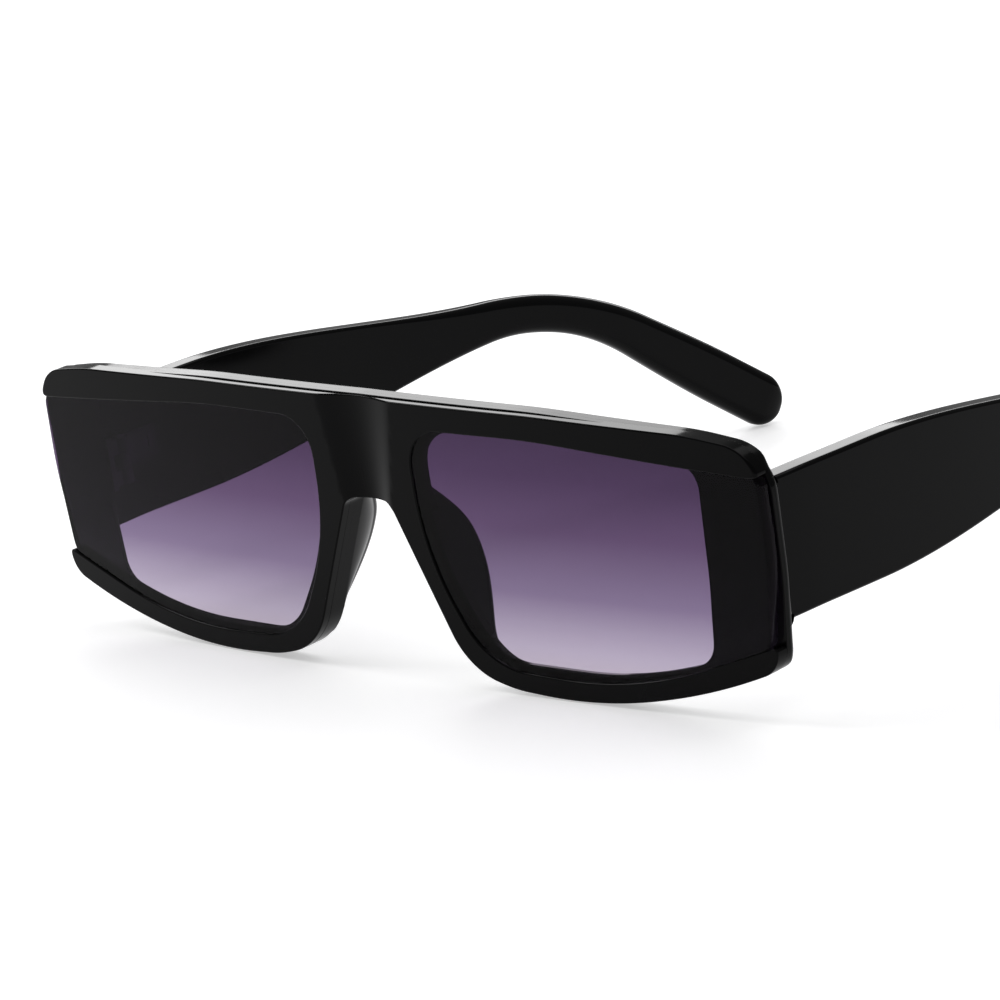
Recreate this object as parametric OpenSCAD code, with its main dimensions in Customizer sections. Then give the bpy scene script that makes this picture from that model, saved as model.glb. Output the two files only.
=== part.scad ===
// Flat-top sunglasses with a wraparound lens edge and folding temples.
// The glasses stand open, on the lower rims and the temple tips.
// The front faces -Y, the temples run to +Y and X = 0 is the plane of symmetry.
// Left and right are the wearer's: left is +X.
// The origin is below the middle of the whole, on the surface they stand on.

/* [Front] */
// Half of the width across the end pieces
half_w = 73.8; // [70:0.2:78]
// Height of the brow's top edge above the rim's lowest edge
front_h = 43; // [40:0.5:47]
// Radius of the front's curve seen from above
front_r = 594; // [400:2:900]
// Drop of the brow's top edge towards its ends
brow_drop = 3.5; // [2.6:0.1:4.4]
// Height of the brow bar at the middle
brow_h = 4.2; // [3.8:0.1:5]
// Height of the brow bar's ends
brow_end_h = 4.1; // [3.8:0.1:4.8]
// Height of the lens openings' lower edge beside the nose
rim_h = 3.6; // [3.2:0.1:4.2]
// Height of the rim's upturned outer end
hook_h = 11.5; // [10.4:0.1:12.6]
// Forward lean of the front in degrees
lean = 4.7; // [2:0.1:8]
// Thickness of the front from face to back
front_t = 4.3; // [3.8:0.1:5.5]
// Thickness of the raised brow bar and rims
face_t = 1.4; // [1.2:0.1:1.8]
// How far the raised layer stands in from the brow's top and the ends behind it
face_in = 0.2; // [0.1:0.05:0.5]
// Depth of the soft front edge of the raised layer
edge_soft = 0.35; // [0.2:0.05:0.6]
// Radius of the end pieces' outer rear edge
end_soft = 1.6; // [0.8:0.1:2]

/* [Lens] */
// Thickness of each lens
lens_t = 1.5; // [1.2:0.1:1.8]
// Recess of the lens face behind the front face
lens_in = 0.3; // [0.2:0.05:0.5]
// How far the lens reaches under the brow and the rims
lens_lap = 1; // [0.6:0.1:1.4]
// Gap round each lens in its seat
lens_gap = 0.04; // [0.02:0.01:0.08]
// Width of the solid end panel behind each lens
panel_w = 12; // [11.6:0.2:12.8]
// How much the rear lip shows inside the rim
ledge = 0.9; // [0.5:0.1:1.4]
// Thickness of the front down to the back of the rear lip
lip_d = 2.5; // [2.3:0.1:3]
// How far the front's back stands away from the rear lip
lip_in = 1; // [0.4:0.1:1.2]

/* [Bridge] */
// Half distance between the two lens openings at the top
open_in = 10.1; // [9.4:0.1:11]
// Half distance between the inner feet of the rims
foot_in = 15.5; // [14.6:0.1:16.4]
// Height where the openings begin to spread away from the nose
nose_z = 20.5; // [19:0.5:22]
// Half width of the arch under the bridge
arch_w = 4.5; // [4:0.1:5.2]
// Half width of the bridge channel at the top
channel_top = 7.3; // [6:0.1:8.5]
// Half width of the bridge channel at the bottom
channel_low = 4.6; // [4:0.1:5.4]
// Depth of the bridge channel
channel_d = 1.5; // [1:0.1:2]
// Height of the arch under the bridge
arch_h = 27; // [25:0.5:29]

/* [Nose pads] */
// Height of the lower end of each pad
pad_low = 4.6; // [3.6:0.2:6]
// Height of the upper end of each pad
pad_top = 27.6; // [25:0.2:28]
// Reach of each pad behind the front's back
pad_reach = 6.5; // [4:0.1:7]
// Reach of each pad at its two ends
pad_end = 0.9; // [0.6:0.1:1.4]
// Gap between a pad and its seat on the rim
pad_gap = 0.03; // [0.02:0.01:0.06]

/* [Temples] */
// Thickness of each temple at the hinge
temple_t = 3.6; // [3.4:0.1:4.4]
// Thickness of the ear section
ear_t = 4.2; // [3.6:0.1:5]
// Height of each temple at the hinge
temple_h = 20.8; // [18:0.2:23]
// Height where the ear section begins
bend_h = 6.3; // [5.4:0.1:8]
// Height of the temple tip
tip_h = 9; // [7:0.1:10]
// Length of the straight stretch
straight_l = 88.4; // [80:0.2:96]
// Length of the ear section below the bend
ear_l = 33.8; // [30:0.2:37]
// Radius of the bend over the ear
bend_r = 54; // [48:1:62]
// Upward slope of the temple's middle line in degrees
rise_a = 3; // [2.4:0.1:4]
// Downward slope of the ear section in degrees
drop_a = 32.7; // [30:0.1:35]
// Radius of the temple's curve seen from above
bow_r = 673; // [450:5:900]
// How far the temples stand in from the front's half width
bow_in = 2.6; // [2.2:0.1:3]
// Distance from the origin to where the temples are widest
bow_y = 30; // [20:1:40]

/* [Hinges] */
// Distance of each hinge axis from the temple's inner face
hinge_in = 2.95; // [2.7:0.05:3.1]
// Radius of the hinge knuckles
knuckle_r = 1.5; // [1.3:0.05:1.7]
// Height of one knuckle
knuckle_h = 2.4; // [2:0.1:3]
// Gap between neighbouring knuckles
knuckle_gap = 0.1; // [0.06:0.02:0.2]
// Distance from the front's rear face to the hinge axis
axis_back = 2.2; // [2:0.1:2.6]
// Radius of the hinge screw
pin_r = 0.7; // [0.6:0.05:0.8]
// Radial gap of the screw in the turning knuckle
pin_run = 0.05; // [0.03:0.01:0.08]
// Radial gap of the screw in the fixed knuckles
pin_fit = 0.02; // [0.01:0.01:0.04]
// Thickness of the hinge leaves
leaf_t = 1; // [0.8:0.1:1.2]
// Gap round each leaf in its recess
leaf_gap = 0.03; // [0.02:0.01:0.06]
// Width of the front leaf
front_leaf_w = 7.6; // [7.2:0.2:8]
// Length of the temple leaf
temple_leaf_l = 12; // [11:0.5:15]
// Gap between the temple's front end and the end piece when open
stop_gap = 0.05; // [0.03:0.01:0.1]

/* [Screws] */
// Shank radius of the small leaf screws
screw_r = 0.55; // [0.45:0.05:0.6]
// Head radius of the small leaf screws
screw_head_r = 1; // [0.85:0.05:1.1]
// Depth of the countersunk head
screw_head_h = 0.5; // [0.4:0.05:0.6]
// Shank length below the leaf
screw_bite = 1.3; // [1:0.1:1.4]
// Distance between the two screws of a leaf
screw_pitch = 4.2; // [3.8:0.1:4.6]
// Gap round a screw in its hole
screw_gap = 0.02; // [0.01:0.01:0.04]
// Width of the driver slots
slot_w = 0.3; // [0.2:0.05:0.4]
// Depth of the driver slots
slot_d = 0.25; // [0.2:0.05:0.35]
// Radius of the hinge screw's head
pin_head_r = 1.25; // [1.1:0.05:1.4]
// Height of the hinge screw's head
pin_head_h = 0.6; // [0.5:0.05:0.8]

/* [Hidden] */

black = "#161618";
tint = [0.42, 0.34, 0.5, 0.6];
steel = "#b8bac0";
eps = 0.01;
far = 200;

// Depth of the front's face below its middle at a distance from the middle
function sag(x) = front_r - sqrt(front_r * front_r - x * x);
// Plane on which the temples' front ends stop, in the leaning frame
rear_v = sag(half_w) + front_t;
// Hinge axis depth in the leaning frame
axis_v = rear_v + axis_back;
// Half of the whole hinge stack
stack = 1.5 * knuckle_h + knuckle_gap;
// Places of the lens and its seat
lens_back = lens_in + lens_t;
// Width of the slit behind the lens's exposed edge
slit = 0.4;
// Height of the brow bar's lower edge at the middle and at the end
brow_low_mid = front_h - brow_h;
brow_low_end = front_h - brow_drop - brow_end_h;
// Slopes of the openings' upper and lower edges past the front's end
brow_slope = 0.085;
hook_slope = 0.335;
// Distance past the front's end where the openings' edges stop
past = 20;
// Stations of the outline's long curves from the middle
near_x = half_w * 0.45;
low_x = half_w * 0.54;
belly_x = half_w * 0.63;
wide_x = half_w * 0.81;
turn_x = half_w * 0.83;
// Height of the lower outline's corner before the rise to its outer ends
wide_z = 2.9;
// Height of the rims' inner feet, where their sides would meet their lower edges
foot_z = 2.6;
// Radius of the openings' turn beside the nose
nose_r = (brow_low_mid - nose_z) * 2.05;
// Half width to the inner edge of the end panel, at its lip and at the front's back
panel_in = half_w - panel_w;
back_in = panel_in + 2.4 * lip_in;
// How far the temple leaf's face stands out of the temple's inner face
leaf_proud = 0.35;
// Greatest half width over the temples, and the face of the temple leaf
bow_x = half_w - bow_in;
leaf_x = bow_x - temple_t - leaf_proud;
// Distance of each hinge axis from the plane of symmetry
hinge_x = leaf_x - hinge_in;
// Edges of the leaves nearest to the axis
front_leaf_in = hinge_x - 1;
temple_leaf_in = axis_v - 1.6;
// Half height of the temple leaf
temple_leaf_half = 2.6;
// Start of the temple's path, its bend and its whole length
root_y = 4;
turn_l = bend_r * (rise_a + drop_a) * PI / 180;
path_l = straight_l + turn_l + ear_l;
tip_s = path_l - tip_h / 2;
// Distances along the path where the temple narrows and where the tip swells
narrow_from = straight_l * 0.28;
narrow_to = straight_l + 9;
swell_from = straight_l + 15.5;
swell_to = path_l - 12.8;
// Height of the path's start that stands the temple's tip on the ground
temple_z = tip_h / 2 - straight_l * sin(rise_a) - bend_r * (cos(drop_a) - cos(rise_a))
    + (ear_l - tip_h / 2) * sin(drop_a);
// Height of the hinge's middle in the leaning frame, at the middle of the temple
hinge_z = temple_z;
// How far the end pieces' rounding cylinder stands past their faces, so that it cuts both
end_out = 0.05;
// Half height of the end piece's block that the temple stops on
block_half = temple_h / 2 + 0.8;
// Middle of the whole from the brow's face to the temple tips
mid_y = (path(tip_s).x + tip_h / 2 - (front_h - face_in - edge_soft) * sin(lean)) / 2;

// Turn from one direction to the next at a corner, and its rounded points
function unit(v) = v / norm(v);
function turn_arc(a, b, c, r, n) =
    let (
        p = unit([a.x - b.x, a.y - b.y]),
        q = unit([c.x - b.x, c.y - b.y]),
        half = acos(p * q) / 2,
        cut = r / tan(half),
        s = [b.x, b.y] + p * cut,
        e = [b.x, b.y] + q * cut,
        m = [b.x, b.y] + unit(p + q) * (r / sin(half)),
        a0 = atan2(s.y - m.y, s.x - m.x),
        a1 = atan2(e.y - m.y, e.x - m.x),
        d = a1 - a0 > 180 ? a1 - a0 - 360 : (a1 - a0 < -180 ? a1 - a0 + 360 : a1 - a0)
    )
    [for (i = [0 : n]) m + r * [cos(a0 + d * i / n), sin(a0 + d * i / n)]];

// Outline through corners [x, y, radius, steps], where radius 0 keeps a corner sharp
function rounded(pts) =
    let (n = len(pts))
    [for (i = [0 : n - 1])
        each (pts[i][2] == 0 ? [[pts[i].x, pts[i].y]]
            : turn_arc(pts[(i + n - 1) % n], pts[i], pts[(i + 1) % n], pts[i][2], pts[i][3]))];

// Left half of the front's outline, moved in by a margin at its top and ends and another below
function half_outline(m, low) =
    let (
        rise = (hook_h - 4 - wide_z) / (half_w - 1.5 - wide_x)
    )
    rounded([
        [0, front_h - m, 0, 0],
        [near_x, front_h - 0.3 - m, 200, 6],
        [turn_x, front_h - 1.6 - m, 60, 4],
        [half_w - m, front_h - brow_drop - m, 6.5 - m, 10],
        [half_w - 0.2 - m, hook_h + 9.5, 60, 4],
        [half_w - 1.5 - m, hook_h - 4 + low - (m - low) * rise, 4.4 - m, 8],
        [wide_x, wide_z + low, 105, 6],
        [low_x, -0.65 + low, 85, 8],
        [foot_in + 8.9, 0.4 + low, 24, 5],
        [foot_in + low, foot_z + low, 12 - low, 8],
        [arch_w + low, arch_h + low, 2.5, 6],
        [0, arch_h + low, 0, 0]]);
// The whole outline, as the half and its mirror image
function outline(m, low) =
    let (h = half_outline(m, low), n = len(h))
    concat(h, [for (i = [n - 2 : -1 : 1]) [-h[i].x, h[i].y]]);

// Opening in the raised layer, open at its outer side, grown by a margin
function face_opening(g) = rounded([
    [open_in - g, brow_low_mid + g, 6 + g, 8],
    [near_x, brow_low_mid + g, 150, 5],
    [half_w + past, brow_low_end - past * brow_slope + g, 0, 0],
    [half_w + past, hook_h + past * hook_slope - g, 0, 0],
    [belly_x, rim_h - 1.25 - g, 73, 7],
    [foot_in + 3.9 - g, rim_h - g, 13 + g, 8],
    [open_in - g, nose_z, nose_r, 7]]);

// Opening behind the lens inside the rear lip, grown by a share of the step at the front's back
function back_opening(k) =
    let (g = k * lip_in, end = panel_in + k * (back_in - panel_in))
    rounded([
        [open_in + ledge - g, brow_low_mid - 0.4 + g, 5 + g, 8],
        [near_x, brow_low_mid - 0.4 + g, 150, 4],
        [end, brow_low_end + 1.4 + g, 4 + g, 6],
        [end - 0.5, hook_h + 8, 60, 3],
        [end - 1.6, rim_h + 3 + ledge - g, 4 + g, 6],
        [belly_x, rim_h - 0.75 + ledge - g, 72, 5],
        [foot_in + 6 - g, rim_h - 0.35 + ledge - g, 9 + g, 8],
        [open_in + ledge - g, nose_z, nose_r, 7]]);

// Outline of the left lens, under the brow and the rims at three sides
function lens_outline(g) =
    let (o = lens_lap + g)
    rounded([
        [open_in - o, brow_low_mid + o, 6 + o, 8],
        [near_x, brow_low_mid + o, 150, 5],
        [half_w - 0.35 + g, brow_low_end + 1.6 + g, 2.6, 6],
        [half_w - 0.3 + g, hook_h + 11.5, 50, 5],
        [half_w - 2.5 + g, hook_h - 1 - g, 2.4, 6],
        [belly_x, rim_h - 1.25 - o, 73, 7],
        [foot_in + 3.7 - o, rim_h - o, 13 + o, 8],
        [open_in - o, nose_z, nose_r, 7]]);

// Move what is built about the front's middle to the place of the whole
module placed() {
    translate([0, -mid_y, 0])
        children();
}

// Lean what is built upright on the front
module leaning() {
    placed()
        rotate([lean, 0, 0])
            children();
}

// The front's curve seen from above, between two depths behind its face
module plan_ring(d0, d1) {
    translate([0, front_r])
        difference() {
            circle(front_r - d0, $fn = 720);
            circle(front_r - d1, $fn = 720);
        }
}

// Solid with the plan of its first child and the front view of the others
module carve() {
    intersection() {
        translate([0, 0, -10])
            linear_extrude(70)
                children(0);
        translate([0, 30, 0])
            rotate([90, 0, 0])
                linear_extrude(60)
                    children(1);
    }
}

// Layer of the front between two depths behind its curved face
module layer(d0, d1) {
    carve() {
        plan_ring(d0, d1);
        union()
            children();
    }
}

module both() {
    children();
    mirror([1, 0, 0])
        children();
}

// Block from its lowest corner to its highest corner
module block(a, b) {
    translate(a)
        cube(b - a);
}

// Solid through rings of points, closed at both ends
module loft(rings) {
    n = len(rings[0]);
    k = len(rings);
    polyhedron(
        points = [for (ring = rings) each ring],
        faces = [
            [for (i = [0 : n - 1]) i],
            [for (i = [0 : n - 1]) k * n - 1 - i],
            for (j = [0 : k - 2]) for (i = [0 : n - 1])
                [j * n + i, (j + 1) * n + i, j * n + (i + 1) % n],
            for (j = [0 : k - 2]) for (i = [0 : n - 1])
                [(j + 1) * n + i, (j + 1) * n + (i + 1) % n, j * n + (i + 1) % n]],
        convexity = 6);
}

// Countersunk slotted screw along +Z, its flat head at the origin
module small_screw(grow, slotted) {
    top = slotted ? 0 : eps;
    difference() {
        union() {
            translate([0, 0, -top])
                cylinder(h = top + eps, r = screw_head_r + grow, $fn = 32);
            cylinder(h = screw_head_h, r1 = screw_head_r + grow, r2 = screw_r + grow, $fn = 32);
            cylinder(h = leaf_t + screw_bite + grow, r = screw_r + grow, $fn = 32);
        }
        if (slotted)
            translate([-2, -slot_w / 2, -1])
                cube([4, slot_w, 1 + slot_d]);
    }
}

// Places of the screws of the left front leaf and the left temple leaf
module front_screw_places() {
    for (s = [-1, 1])
        translate([front_leaf_in + front_leaf_w * 0.75, rear_v, hinge_z + s * screw_pitch / 2])
            rotate([90, 0, 0])
                children();
}
module temple_screw_places() {
    for (s = [0, 1])
        translate([leaf_x, temple_leaf_in + temple_leaf_l / 2 + s * screw_pitch, hinge_z])
            rotate([0, 90, 0])
                children();
}

module front_leaf_plate(g) {
    block([front_leaf_in - g, rear_v - leaf_t - g, hinge_z - stack - 0.5 - g],
        [front_leaf_in + front_leaf_w + g, rear_v + (g > 0 ? 1 : 0), hinge_z + stack + 0.5 + g]);
}
module temple_leaf_plate(g) {
    block([leaf_x - (g > 0 ? 2 : 0), temple_leaf_in - g, hinge_z - temple_leaf_half - g],
        [leaf_x + leaf_t + g, temple_leaf_in + temple_leaf_l + g, hinge_z + temple_leaf_half + g]);
}

// The raised layer's front view, moved in by a margin
module face_shape(m) {
    difference() {
        polygon(outline(face_in + m, m));
        both()
            polygon(face_opening(m));
    }
}

// Layer of the front behind the raised one, with an opening behind each lens
module back_layer(d0, d1, k) {
    layer(d0, d1)
        difference() {
            polygon(outline(0, 0));
            both()
                polygon(back_opening(k));
        }
}

// Flat blocks behind the panels at the temples' height, where the temples stop
module end_blocks() {
    back_v = sag(back_in) + front_t;
    carve() {
        both()
            polygon([[back_in + 0.1, back_v - 0.9], [half_w + 5, back_v - 0.9], [half_w + 5, rear_v],
                [back_in + 1.6, rear_v], [back_in + 0.1, back_v - 0.3]]);
        intersection() {
            polygon(outline(0, 0));
            translate([-far, hinge_z - block_half])
                square([2 * far, 2 * block_half]);
        }
    }
}

module front_body() {
    layer(0, edge_soft + eps)
        face_shape(edge_soft);
    layer(edge_soft, face_t + eps)
        face_shape(0);
    back_layer(face_t, lip_d + eps, 0);
    back_layer(lip_d, front_t, 1);
    end_blocks();
}

// Cone whose rear line stands upright behind the bridge's face
function chord_r(half, depth) = (half * half + depth * depth) / (2 * depth);
module bridge_channel() {
    r_low = chord_r(channel_low, channel_d);
    flare = (chord_r(channel_top, channel_d) - r_low) / (front_h - arch_h);
    apex_z = arch_h - r_low / flare;
    tilt = atan(flare);
    long = (front_h + 3 - apex_z) * cos(tilt);
    translate([0, channel_d, apex_z])
        rotate([tilt, 0, 0])
            cylinder(h = long, r1 = 0, r2 = long * flare, $fn = 180);
}

// Slit behind the lens's exposed outer edge
module edge_slit() {
    layer(-1, lens_back + slit)
        intersection() {
            polygon(face_opening(-0.05));
            translate([half_w - 3, 0])
                square([20, 60]);
        }
}

module front_frame() {
    color(black)
        leaning()
            difference() {
                front_body();
                bridge_channel();
                both() {
                    // Seat of the lens
                    layer(lens_in - lens_gap, lens_back + lens_gap)
                        polygon(lens_outline(lens_gap));
                    edge_slit();
                    // Soft outer rear edge of the end piece
                    translate([half_w - end_soft + end_out, rear_v - end_soft + end_out, -10])
                        difference() {
                            cube([8, 8, 80]);
                            cylinder(h = 80, r = end_soft, $fn = 96);
                        }
                    front_leaf_plate(leaf_gap);
                    front_screw_places()
                        small_screw(screw_gap, false);
                }
            }
}

module lens() {
    leaning()
        layer(lens_in, lens_back)
            polygon(lens_outline(0));
}
module lens_left() {
    color(tint)
        lens();
}
module lens_right() {
    color(tint)
        mirror([1, 0, 0])
            lens();
}

// Half width of the arch's side at a height
function arch_side(z) = arch_w + (arch_h - z) * (foot_in - arch_w) / (arch_h - foot_z);
// Pad section at a share of the pad's height: a rounded fin that carries on the arch's side
function pad_fin(t) = sin(180 * pow(t, 1.73));
function pad_ring(t) =
    let (
        z = pad_low + (pad_top - pad_low) * t,
        root_in = arch_side(z) + 0.05,
        root_out = root_in + 3.1,
        v0 = sag(root_out) + front_t + pad_gap,
        deep = pad_end + (pad_reach - pad_end) * pad_fin(t),
        r = min(1.6, deep / 2),
        tip_x = root_in + 2.5 + 0.5 * pad_fin(t),
        tip_v = v0 + deep - r
    )
    concat([[root_out, v0, z], [root_in, v0, z]],
        [for (i = [0 : 6]) [tip_x - r * cos(i * 30), tip_v + r * sin(i * 30), z]]);

module pad() {
    color(black)
        leaning()
            loft([for (i = [0 : 18]) pad_ring(i / 18)]);
}
module nose_pad_left() {
    pad();
}
module nose_pad_right() {
    mirror([1, 0, 0])
        pad();
}

// Middle line of the temple seen from the side: [y, z, heading] at a path distance
function smooth(t) = let (c = min(1, max(0, t))) c * c * (3 - 2 * c);
function path(s) =
    let (
        along = [cos(rise_a), sin(rise_a)],
        a = rise_a - (s - straight_l) / bend_r * 180 / PI,
        p1 = [root_y, temple_z] + straight_l * along,
        p2 = p1 + bend_r * [sin(rise_a) + sin(drop_a), cos(drop_a) - cos(rise_a)],
        e = s - straight_l - turn_l
    )
    s <= straight_l ? [root_y + s * along.x, temple_z + s * along.y, rise_a]
    : s <= straight_l + turn_l
        ? [p1.x + bend_r * (sin(rise_a) - sin(a)), p1.y + bend_r * (cos(a) - cos(rise_a)), a]
        : [p2.x + e * cos(drop_a), p2.y - e * sin(drop_a), -drop_a];
function temple_height(s) =
    s < narrow_to
        ? temple_h + (bend_h - temple_h) * smooth((s - narrow_from) / (narrow_to - narrow_from))
        : bend_h + (tip_h - bend_h) * smooth((s - swell_from) / (swell_to - swell_from));
function temple_thick(s) = temple_t + (ear_t - temple_t) * smooth(s / straight_l * 1.5 - 1);

// Rounded section across the temple, shrunk at the tip by a share of a circle
function temple_ring(s, shrink) =
    let (
        p = path(s),
        h = temple_height(s) / 2 * shrink,
        t = temple_thick(s) / 2 * (0.35 + 0.65 * shrink),
        r = min(h, t) * (0.3 + 0.6 * smooth(s / straight_l * 2 - 1.35)),
        cx = bow_x - temple_thick(s) / 2 - (p.x - bow_y) * (p.x - bow_y) / (2 * bow_r)
    )
    [for (q = [0 : 3]) for (i = [0 : 3])
        let (
            a = q * 90 + i * 30,
            dx = (q == 0 || q == 3 ? t - r : r - t) + r * cos(a),
            dh = (q < 2 ? h - r : r - h) + r * sin(a)
        )
        [cx + dx, p.x - dh * sin(p.z), p.y + dh * cos(p.z)]];

tip_steps = 7;
body_steps = 46;
module temple() {
    difference() {
        placed()
            loft(concat(
                [for (i = [0 : body_steps]) temple_ring(tip_s * i / body_steps, 1)],
                [for (i = [1 : tip_steps])
                    let (a = 86 * i / tip_steps)
                    temple_ring(tip_s + tip_h / 2 * sin(a), cos(a))]));
        leaning() {
            // Front end that stops on the end piece
            block([0, -60, -60], [far, rear_v + stop_gap, 100]);
            temple_leaf_plate(leaf_gap);
            temple_screw_places()
                small_screw(screw_gap, false);
        }
    }
}
module temple_left() {
    color(black)
        temple();
}
module temple_right() {
    color(black)
        mirror([1, 0, 0])
            temple();
}

// Heights of the lower, middle and upper knuckles
function knuckle_z(i) = hinge_z - knuckle_h / 2 + i * (knuckle_h + knuckle_gap);

module front_hinge() {
    color(steel)
        leaning()
            difference() {
                union() {
                    front_leaf_plate(0);
                    for (i = [-1, 1]) {
                        translate([hinge_x, axis_v, knuckle_z(i)])
                            cylinder(h = knuckle_h, r = knuckle_r, $fn = 48);
                        block([hinge_x - 1, rear_v - eps, knuckle_z(i)],
                            [hinge_x + 1, axis_v, knuckle_z(i) + knuckle_h]);
                    }
                }
                translate([hinge_x, axis_v, hinge_z - 10])
                    cylinder(h = 20, r = pin_r + pin_fit, $fn = 48);
                front_screw_places()
                    small_screw(screw_gap, false);
            }
}
module front_hinge_left() {
    front_hinge();
}
module front_hinge_right() {
    mirror([1, 0, 0])
        front_hinge();
}

module temple_hinge() {
    color(steel)
        leaning()
            difference() {
                union() {
                    temple_leaf_plate(0);
                    translate([hinge_x, axis_v, knuckle_z(0)])
                        cylinder(h = knuckle_h, r = knuckle_r, $fn = 48);
                    block([hinge_x, axis_v - 1, knuckle_z(0)],
                        [leaf_x + eps, axis_v + 1, knuckle_z(0) + knuckle_h]);
                }
                translate([hinge_x, axis_v, hinge_z - 10])
                    cylinder(h = 20, r = pin_r + pin_run, $fn = 48);
                temple_screw_places()
                    small_screw(screw_gap, false);
            }
}
module temple_hinge_left() {
    temple_hinge();
}
module temple_hinge_right() {
    mirror([1, 0, 0])
        temple_hinge();
}

module hinge_screw() {
    color(steel)
        leaning()
            translate([hinge_x, axis_v, hinge_z - stack])
                difference() {
                    union() {
                        cylinder(h = 2 * stack + eps, r = pin_r, $fn = 48);
                        translate([0, 0, 2 * stack])
                            cylinder(h = pin_head_h, r = pin_head_r, $fn = 48);
                    }
                    translate([-2, -slot_w / 2, 2 * stack + pin_head_h - slot_d])
                        cube([4, slot_w, 1]);
                }
}
module hinge_screw_left() {
    hinge_screw();
}
module hinge_screw_right() {
    mirror([1, 0, 0])
        hinge_screw();
}

module front_hinge_screws() {
    color(steel)
        leaning()
            front_screw_places()
                small_screw(0, true);
}
module front_hinge_screws_left() {
    front_hinge_screws();
}
module front_hinge_screws_right() {
    mirror([1, 0, 0])
        front_hinge_screws();
}

module temple_hinge_screws() {
    color(steel)
        leaning()
            temple_screw_places()
                small_screw(0, true);
}
module temple_hinge_screws_left() {
    temple_hinge_screws();
}
module temple_hinge_screws_right() {
    mirror([1, 0, 0])
        temple_hinge_screws();
}

front_frame();
lens_left();
lens_right();
nose_pad_left();
nose_pad_right();
temple_left();
temple_right();
front_hinge_left();
front_hinge_right();
temple_hinge_left();
temple_hinge_right();
hinge_screw_left();
hinge_screw_right();
front_hinge_screws_left();
front_hinge_screws_right();
temple_hinge_screws_left();
temple_hinge_screws_right();
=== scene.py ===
"""Flat-top sunglasses: the looks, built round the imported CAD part.

The front is drawn in its own axes: u across, w up its leaning face and v behind its middle, in mm.
"""
import math

import bpy
import numpy as np
from mathutils import Matrix, Vector
from mathutils.geometry import delaunay_2d_cdt


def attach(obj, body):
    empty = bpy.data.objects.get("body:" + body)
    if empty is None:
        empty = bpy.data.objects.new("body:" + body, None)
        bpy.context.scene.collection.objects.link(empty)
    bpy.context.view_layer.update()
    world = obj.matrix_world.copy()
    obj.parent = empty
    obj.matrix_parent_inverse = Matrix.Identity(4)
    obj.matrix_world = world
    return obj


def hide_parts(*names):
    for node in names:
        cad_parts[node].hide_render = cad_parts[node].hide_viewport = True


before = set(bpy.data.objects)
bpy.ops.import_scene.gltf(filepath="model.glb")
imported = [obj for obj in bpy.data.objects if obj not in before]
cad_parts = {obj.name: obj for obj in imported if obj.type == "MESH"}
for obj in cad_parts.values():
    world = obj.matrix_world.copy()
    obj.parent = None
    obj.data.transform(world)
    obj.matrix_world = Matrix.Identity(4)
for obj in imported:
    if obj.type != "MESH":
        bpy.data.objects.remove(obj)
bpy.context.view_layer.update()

# Sizes of the part, in mm
R = 594.0                   # radius of the front's curve, in plan
LEAN = math.radians(4.7)
HALF_W = 73.8
FRONT_H = 43.0
FRONT_T = 4.3
REAR_V = R - math.sqrt(R * R - HALF_W * HALF_W) + FRONT_T
MID_Y = 74.978              # the part's middle lies this far behind the front's
HINGE_W = 24.187
FACE_T, FACE_IN = 1.4, 0.2  # the front's first layer: thickness, and how much smaller it is
LIP_D, LIP_IN = 2.5, 1.0    # where its rear layer starts, and how much wider that opens
LENS_T, LENS_IN = 1.5, 0.3
ARCH_H, ARCH_W = 27.0, 4.5
CHANNEL_LOW, CHANNEL_TOP, CHANNEL_DEEP, CHANNEL_BLEND = 4.6, 7.3, 1.2, 0.5
BROW_DROP, BROW_H, BROW_END_H, RIM_H, HOOK_H = 3.5, 4.2, 4.1, 3.6, 11.5
OPEN_IN, FOOT_IN, FOOT_Z, NOSE_Z, WIDE_Z, LEDGE = 10.1, 15.5, 2.6, 20.5, 2.9, 0.9
LOW_MID, LOW_END = FRONT_H - BROW_H, FRONT_H - BROW_DROP - BROW_END_H
NOSE_R = (LOW_MID - NOSE_Z) * 2.05
PANEL_IN = HALF_W - 12
BACK_IN = PANEL_IN + 2.4 * LIP_IN
PAST = 20                   # how far the face's openings run past the front's ends
SLIT, SLIT_END = 0.06, 0.2  # between a lens and the layer behind it, and the same at its outer edge
UNDER_FACE = 0.12           # the lip lies this much behind the hollow in the face
OVERLAP = 0.02              # of one layer into the next
SMALL_R = 0.02              # edge radius where nothing of it shows

# Sizes of the meshes, in mm
OUTLINE_STEP = 0.8
GRID_STEP, GRID_CLEAR = 2.2, 0.3
LINE_CLEAR, LINE_GRID_CLEAR = 0.05, 0.2
EDGE_STEPS = 5
SLOPE_STEP = 0.01
SIDES = (("left", 1), ("right", -1))


def depth_v(u, d):
    """Distance behind the front's middle at a half width u and a depth d behind the curved face."""
    return R - np.sqrt((R - d) ** 2 - np.asarray(u, float) ** 2)


def lean(p):
    """Points (u across, w up the leaning front, v behind its middle) in the part's frame, in mm."""
    p = np.asarray(p, float)
    c, s = math.cos(LEAN), math.sin(LEAN)
    return np.stack([p[..., 0], p[..., 2] * c - p[..., 1] * s - MID_Y, p[..., 2] * s + p[..., 1] * c], -1)


def lean_dir(n):
    """Directions turned the way that lean turns points."""
    c, s = math.cos(LEAN), math.sin(LEAN)
    return np.stack([n[..., 0], n[..., 2] * c - n[..., 1] * s, n[..., 2] * s + n[..., 1] * c], -1)


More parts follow.
